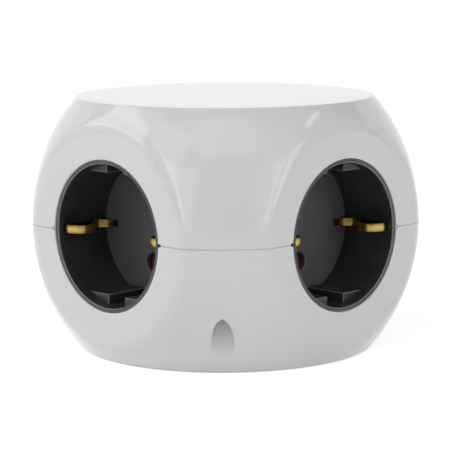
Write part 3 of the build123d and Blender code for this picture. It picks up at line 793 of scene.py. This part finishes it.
def softened(node, name, edge, material, axis=None):
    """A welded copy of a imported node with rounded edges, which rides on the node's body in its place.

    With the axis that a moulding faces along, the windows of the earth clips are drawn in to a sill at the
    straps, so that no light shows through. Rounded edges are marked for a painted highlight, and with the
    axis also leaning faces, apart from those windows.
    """
    made = placed(name, frame["nodes"][node].data.copy())
    shortest = 4 * edge
    net = bmesh.new()
    net.from_mesh(made.data)
    edge_highlight = net.faces.layers.float.new("edge")
    bmesh.ops.remove_doubles(net, verts=net.verts, dist=weld_distance)
    bmesh.ops.dissolve_limit(
        net, angle_limit=flat_angle, use_dissolve_boundaries=False, verts=net.verts, edges=net.edges
    )
    for vert in net.verts:
        height = vert.co.z - centre.z
        beside_clip = axis is not None and abs(vert.co[1 - axis]) > clip_reach
        if beside_clip and clip_sill < abs(height) < clip_window:
            vert.co.z = centre.z + math.copysign(clip_sill, height)
    sharp = [
        e
        for e in net.edges
        if e.is_manifold and e.calc_face_angle_signed(0) > sharp_angle and e.calc_length() > shortest
    ]
    rounded = bmesh.ops.bevel(
        net,
        geom=sharp,
        offset=edge,
        offset_type="OFFSET",
        segments=edge_steps,
        profile=0.5,
        affect="EDGES",
        clamp_overlap=False,
    )
    # Rounded edges are marked for a painted highlight.
    for face in rounded["faces"]:
        face[edge_highlight] = 1.0
    net.normal_update()
    for face in net.faces:
        face.smooth = True
        face.material_index = 0
        if axis is None:
            continue
        middle = face.calc_center_median()
        # Leaning faces are marked for a painted highlight too, except beside the clip windows.
        if least_lean < abs(face.normal[axis]) < most_lean:
            face[edge_highlight] = 1.0
        if abs(middle.z - centre.z) < clip_band and abs(middle[axis]) < face_distance - rim_depth:
            face[edge_highlight] = 0.0
    for e in net.edges:
        e.smooth = e.is_manifold and e.calc_face_angle(0) < soft_angle
    net.to_mesh(made.data)
    net.free()
    dress(made, material)
    body = next(b for b, nodes in frame["record"]["behaviour"]["bodies"].items() if node in nodes)
    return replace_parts(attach(made, body), node)


socket_sides = ("front", "left", "rear")
for side in socket_sides:
    cup_axis = 0 if side == "left" else 1
    softened(f"socket_cup_{side}", f"cup_{side}", cup_edge, insert_plastic, axis=cup_axis)

# Shutters: dark red mouldings that turn behind the pin holes, each pushed back by a hairpin of spring wire.
# The hairpins are copies of the imported springs, with their place baked in.
shutter_edge = 0.2 * mm
shutter_plastic = finish(
    "shutter_plastic", ((0.055, 0.008, 0.009), (0.075, 0.011, 0.011)), (0.38, 0.5), grain=(1800.0, 0.02 * mm)
)
spring_wire = finish("spring_wire", ((0.42, 0.42, 0.43), (0.55, 0.55, 0.56)), (0.25, 0.35), metal=1.0)
for side in socket_sides:
    softened(f"shutter_{side}", f"pin_shutter_{side}", shutter_edge, shutter_plastic)
    node = f"shutter_spring_{side}"
    hairpin = placed(f"hairpin_{side}", frame["nodes"][node].data.copy())
    dress(hairpin, spring_wire)
    across = 1 if side == "left" else 0
    post, wing = sorted((corner[across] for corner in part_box(node)), key=abs, reverse=True)
    start, end = centre.copy(), centre.copy()
    start[across], end[across] = post, wing
    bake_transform(hairpin)
    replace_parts(hairpin, node)

# Earth clips: straps of rolled brass, bent round the back of each cup with a sprung nose at both sides. The
# brass is tarnished, and the middle of the noses near the mouths is painted bright: partly the rub of plugs,
# partly a painted highlight. A tree rounds the bends of the strap's line and draws the strip along it.
strap_width = 2.4 * mm
strap_thickness = 0.7 * mm
strap_edge = 0.2 * mm
bend_points = 14
edge_points = 5
carrier_half = 21.9 * mm
bright_half = 0.2 * mm
highlight_fade_half = 1.15 * mm
highlight_start = face_distance - 6.5 * mm
highlight_full = face_distance - 3.2 * mm
rub_and_highlight_colour = (0.60, 0.45, 0.14, 1)
brass_tint = (0.75, 0.55, 0.2, 1)
brass = finish(
    "brass",
    ((0.20, 0.125, 0.03), (0.30, 0.20, 0.05)),
    (0.2, 0.3),
    grain=(1500.0, 0.012 * mm),
    patch_scale=260.0,
    stretch=(0.35, 0.35, 3.0),
    metal=0.78,
)
tree = brass.node_tree
tree.nodes["Principled BSDF"].inputs["Specular Tint"].default_value = brass_tint
reach, height = reach_and_height(tree)
from_middle = calc(tree, "ABSOLUTE", calc(tree, "SUBTRACT", height, centre.z))
along_middle = add_node(
    tree,
    "ShaderNodeMapRange",
    {"Value": from_middle, "From Min": bright_half, "From Max": highlight_fade_half, "To Min": 1.0, "To Max": 0.0},
    interpolation_type="SMOOTHSTEP",
)
near_front = add_node(
    tree,
    "ShaderNodeMapRange",
    {"Value": reach, "From Min": highlight_start, "From Max": highlight_full},
    interpolation_type="SMOOTHSTEP",
)
# Painted highlight: a bright band along the middle height of the noses near the mouths, which also stands for
# the rub of plugs.
rub_and_highlight = calc(tree, "MULTIPLY", along_middle.outputs[0], near_front.outputs[0])
overlay(tree, rub_and_highlight, rub_and_highlight_colour)

# One arm of the strap, from the back of the cup to its curled tip: across, out from the middle, bend radius.
strap_arm = [
    (17.2 * mm, carrier_half + strap_thickness / 2, 0.9 * mm),
    (17.2 * mm, cup_floor_front + 0.7 * mm, 3.0 * mm),
    (20.2 * mm, face_distance - 14.6 * mm, 1.9 * mm),
    (19.2 * mm, face_distance - 12.2 * mm, 2.0 * mm),
    (9.5 * mm, face_distance - 5.0 * mm, 3.7 * mm),
    (18.0 * mm, face_distance - 2.2 * mm, 1.4 * mm),
    (20.4 * mm, face_distance - 3.8 * mm, 0.0),
]
strap_tree, given, result = new_group(
    "bent strap",
    "GeometryNodeTree",
    {
        "Geometry": "NodeSocketGeometry",
        "Width": "NodeSocketFloat",
        "Thickness": "NodeSocketFloat",
        "Edge": "NodeSocketFloat",
        "Material": "NodeSocketMaterial",
    },
    {"Geometry": "NodeSocketGeometry"},
)
line = add_node(strap_tree, "GeometryNodeMeshToCurve", {"Mesh": given["Geometry"]})
bent = add_node(
    strap_tree,
    "GeometryNodeFilletCurve",
    {"Curve": line.outputs[0], "Count": bend_points, "Radius": stored(strap_tree, "bend", "FLOAT")},
    mode="POLY",
)
level_line = add_node(strap_tree, "GeometryNodeSetCurveNormal", {"Curve": bent.outputs[0]}, mode="Z_UP")
outline = add_node(
    strap_tree,
    "GeometryNodeCurvePrimitiveQuadrilateral",
    {"Width": given["Thickness"], "Height": given["Width"]},
)
rounded = add_node(
    strap_tree,
    "GeometryNodeFilletCurve",
    {"Curve": outline.outputs[0], "Count": edge_points, "Radius": given["Edge"]},
    mode="POLY",
)
strip = add_node(
    strap_tree,
    "GeometryNodeCurveToMesh",
    {"Curve": level_line.outputs[0], "Profile Curve": rounded.outputs[0], "Fill Caps": True},
)
end_tree(strap_tree, strip.outputs[0], given, result)


def bent_strap(name, route, turn):
    """A strap along a level route of points and bend radii, turned about the housing's axis."""
    about = Matrix.Rotation(turn, 3, "Z")
    points = [about @ Vector((x, y, centre.z)) for x, y, _ in route]
    source = mesh_object(name, points, [], [(i, i + 1) for i in range(len(points) - 1)])
    bends = np.array([bend for _, _, bend in route], np.float32)
    source.data.attributes.new("bend", "FLOAT", "POINT").data.foreach_set("value", bends)
    sizes = {"Width": strap_width, "Thickness": strap_thickness, "Edge": strap_edge, "Material": brass}
    return close_and_shade(grown(source, name, strap_tree, sizes))


clip_route = [(-across, -out, bend) for across, out, bend in reversed(strap_arm)]
clip_route += [(across, -out, bend) for across, out, bend in strap_arm]
for side, turn in (("front", 0.0), ("left", -math.pi / 2), ("rear", math.pi)):
    clip = bent_strap(f"earth_strap_{side}", clip_route, turn)
    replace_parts(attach(clip, "housing"), f"earth_clip_{side}")

# Contacts: stamped brass bus bars and an earth link, held by a carrier of plain heat-proof plastic. The
# housing closes them in, so they stay as packed.
carrier_plastic = finish("carrier_plastic", ((0.50, 0.49, 0.45), (0.56, 0.55, 0.51)), (0.45, 0.6))
dress(frame["nodes"]["contact_carrier"], carrier_plastic)
for node in ("earth_link", "live_busbar", "neutral_busbar"):
    dress(frame["nodes"][node], brass)

# Connection plate: a dark glass-filled moulding like the cups, which closes the fourth side of the housing.
# It has windows for two charging ports and the cord's inlet, and its edges are rounded as theirs are.
softened("usb_plate", "connection_plate", cup_edge, insert_plastic, axis=0)

# Charging ports: folded shells of plated steel, each round a black moulded tongue with gilt contact strips.
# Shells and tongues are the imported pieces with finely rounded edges, and the strips stay as packed.
port_edge = 0.1 * mm
tongue_edge = 0.12 * mm
port_steel = finish(
    "port_steel", ((0.60, 0.60, 0.61), (0.70, 0.70, 0.71)), (0.18, 0.28), metal=1.0, patch_scale=300.0
)
tongue_plastic = finish("tongue_plastic", ((0.012, 0.012, 0.013), (0.02, 0.02, 0.022)), (0.4, 0.5))
gilt = finish(
    "gilt_contact", ((0.70, 0.48, 0.16), (0.80, 0.58, 0.24)), (0.18, 0.28), metal=1.0, patch_scale=500.0
)
for port in ("left", "right"):
    softened(f"usb_port_{port}", f"port_shell_{port}", port_edge, port_steel)
    softened(f"usb_tongue_{port}", f"port_tongue_{port}", tongue_edge, tongue_plastic)
    dress(frame["nodes"][f"usb_contacts_{port}"], gilt)

# Charger and cord clamp: a green board with a taped transformer and two sleeved capacitors, its brown and
# blue leads, and the screwed saddle that grips the cord. All are inside the housing and stay as packed.
board_mask = finish("board_mask", ((0.02, 0.12, 0.05), (0.03, 0.16, 0.07)), (0.3, 0.4))
winding_tape = finish("winding_tape", ((0.62, 0.45, 0.06), (0.70, 0.52, 0.09)), (0.35, 0.45))
can_sleeve = finish("can_sleeve", ((0.02, 0.022, 0.05), (0.03, 0.034, 0.07)), (0.25, 0.35))
brown_wire = finish("brown_wire", ((0.13, 0.05, 0.02), (0.17, 0.07, 0.03)), (0.4, 0.5))
blue_wire = finish("blue_wire", ((0.03, 0.08, 0.30), (0.04, 0.11, 0.38)), (0.4, 0.5))
for node, material in (
    ("usb_board", board_mask),
    ("usb_transformer", winding_tape),
    ("usb_reservoir_capacitor", can_sleeve),
    ("usb_smoothing_capacitor", can_sleeve),
    ("live_lead", brown_wire),
    ("neutral_lead", blue_wire),
    ("cord_clamp", insert_plastic),
    ("clamp_screws", zinc),
):
    dress(frame["nodes"][node], material)

# Stage: the camera at the photograph's angle, soft studio light, and a floor of white paper that bends up
# into a backdrop. The paper has painted light: it glows behind the object and fades to painted shade on the
# side towards the camera. Each lamp has its azimuth from the camera and its elevation in degrees, its width
# and height in metres, and its power in watts.
camera_distance = 557 * mm
camera_elevation = math.radians(8.69)
camera_roll = math.radians(-0.34)
frame_pixels = 452
focal_pixels = 1928.7
principal = (225.6, 217.9)
camera = placed("camera", bpy.data.cameras.new("camera"))
to_camera = Vector((-1, -1, 0)).normalized()
picture_right = Vector((1, -1, 0)).normalized()
skyward = Vector((0, 0, 1))
line_of_sight = to_camera * math.cos(camera_elevation) + skyward * math.sin(camera_elevation)
camera.location = centre + line_of_sight * camera_distance
aim = line_of_sight.to_track_quat("Z", "Y").to_matrix() @ Matrix.Rotation(camera_roll, 3, "Z")
camera.rotation_euler = aim.to_euler()
camera.data.lens = focal_pixels / frame_pixels * camera.data.sensor_width
camera.data.shift_x = 0.5 - principal[0] / frame_pixels
camera.data.shift_y = principal[1] / frame_pixels - 0.5
bpy.context.scene.camera = camera

lamp_distance = 1.2
softboxes = {
    "left_box": (-91, 34, 0.75, 0.75, 3.5),
    "upper_left_box": (-84, 50, 0.5, 0.35, 0.4),
    "low_left_box": (-90, 12, 0.6, 0.45, 0.66),
    "back_left_box": (-118, 38, 0.45, 0.6, 0.34),
    "left_strip": (-42, 18, 0.3, 0.75, 1.75),
    "inner_left_strip": (-26, 18, 0.3, 0.75, 0.72),
    "inner_right_strip": (26, 18, 0.3, 0.75, 0.47),
    "right_strip": (42, 18, 0.3, 0.75, 1.36),
    "far_right_strip": (60, 18, 0.3, 0.75, 1.74),
    "low_right_strip": (30, 4, 0.5, 0.1, 0.18),
    "low_far_right_strip": (75, 4, 0.5, 0.1, 0.13),
    "high_left_box": (-45, 45, 0.5, 0.5, 0.82),
    "high_right_box": (45, 45, 0.5, 0.5, 0.4),
    "high_front_box": (0, 55, 0.7, 0.5, 0.87),
    "right_tube": (85, 49, 0.3, 0.035, 0.14),
}
for name, (azimuth, elevation, width, height, power) in softboxes.items():
    lamp = placed(name, bpy.data.lights.new(name, "AREA"))
    turn, rise = math.radians(azimuth), math.radians(elevation)
    level_way = picture_right * math.sin(turn) + to_camera * math.cos(turn)
    way = level_way * math.cos(rise) + skyward * math.sin(rise)
    lamp.location = centre + way * lamp_distance
    lamp.rotation_euler = way.to_track_quat("Z", "Y").to_euler()
    lamp.data.shape = "RECTANGLE"
    lamp.data.size, lamp.data.size_y = width, height
    lamp.data.energy = power
    lamp.visible_camera = False

floor_gap = 0.05 * mm
sweep_start = 1.3
sweep_bend = 0.5
sweep_top = 1.6
sweep_reach = 6.0
sweep_steps = 13
bend_turns = np.linspace(0, math.pi / 2, sweep_steps)
profile = [(-sweep_reach, 0.0)]
profile += [(sweep_start + sweep_bend * math.sin(t), sweep_bend * (1 - math.cos(t))) for t in bend_turns]
profile += [(sweep_start + sweep_bend, sweep_top)]
corners = [
    picture_right * across - to_camera * back + skyward * (rise - floor_gap)
    for back, rise in profile
    for across in (-sweep_reach, sweep_reach)
]
floor = mesh_object(
    "floor", corners, [(2 * k, 2 * k + 1, 2 * k + 3, 2 * k + 2) for k in range(len(profile) - 1)]
)
for face in floor.data.polygons:
    face.use_smooth = True


def grey(level):
    """A plain grey."""
    return (level, level, level, 1)


paper_white = 0.93
paper_roughness = 0.9
glow_reach = 0.4
glow_far = 0.7
glow_near = 0.05
glow_stops = ((0.375, 0.64), (0.54, 0.52), (0.64, 0.36), (0.81, 0.05))
world_level = 0.292
paper = bpy.data.materials.new("white_paper")
paper.use_nodes = True
tree = paper.node_tree
matt = tree.nodes["Principled BSDF"]
matt.inputs["Base Color"].default_value = grey(paper_white)
matt.inputs["Roughness"].default_value = paper_roughness
rays = tree.nodes.new("ShaderNodeLightPath").outputs
mirrored = calc(tree, "MAXIMUM", rays["Is Glossy Ray"], rays["Is Transmission Ray"])
seen = calc(tree, "MAXIMUM", rays["Is Camera Ray"], mirrored)
towards_camera = add_node(
    tree,
    "ShaderNodeVectorMath",
    {0: tree.nodes.new("ShaderNodeTexCoord").outputs["Object"], 1: to_camera},
    operation="DOT_PRODUCT",
)
along = add_node(
    tree,
    "ShaderNodeMapRange",
    {"Value": towards_camera.outputs["Value"], "From Min": -glow_reach, "From Max": glow_reach},
)
# Painted light and shade on the paper: a glow that is strong behind the object and fades towards the camera.
painted_glow_ramp = add_node(tree, "ShaderNodeValToRGB", {"Fac": along.outputs[0]})
stops = painted_glow_ramp.color_ramp.elements
stops[0].color = grey(glow_far)
stops[1].color = grey(glow_near)
for position, level in glow_stops:
    stops.new(position).color = grey(level)
glow = add_node(tree, "ShaderNodeEmission", {"Color": painted_glow_ramp.outputs[0], "Strength": seen})
both = add_node(tree, "ShaderNodeAddShader", {0: matt.outputs[0], 1: glow.outputs[0]})
from_below = add_node(
    tree,
    "ShaderNodeMixShader",
    {
        0: tree.nodes.new("ShaderNodeNewGeometry").outputs["Backfacing"],
        1: both.outputs[0],
        2: tree.nodes.new("ShaderNodeBsdfTransparent").outputs[0],
    },
)
tree.links.new(from_below.outputs[0], tree.nodes["Material Output"].inputs["Surface"])
floor.data.materials.append(paper)

world = bpy.data.worlds.new("studio")
bpy.context.scene.world = world
world.use_nodes = True
background = world.node_tree.nodes["Background"]
background.inputs["Color"].default_value = grey(1)
background.inputs["Strength"].default_value = world_level
bpy.context.scene.view_settings.view_transform = "Standard"
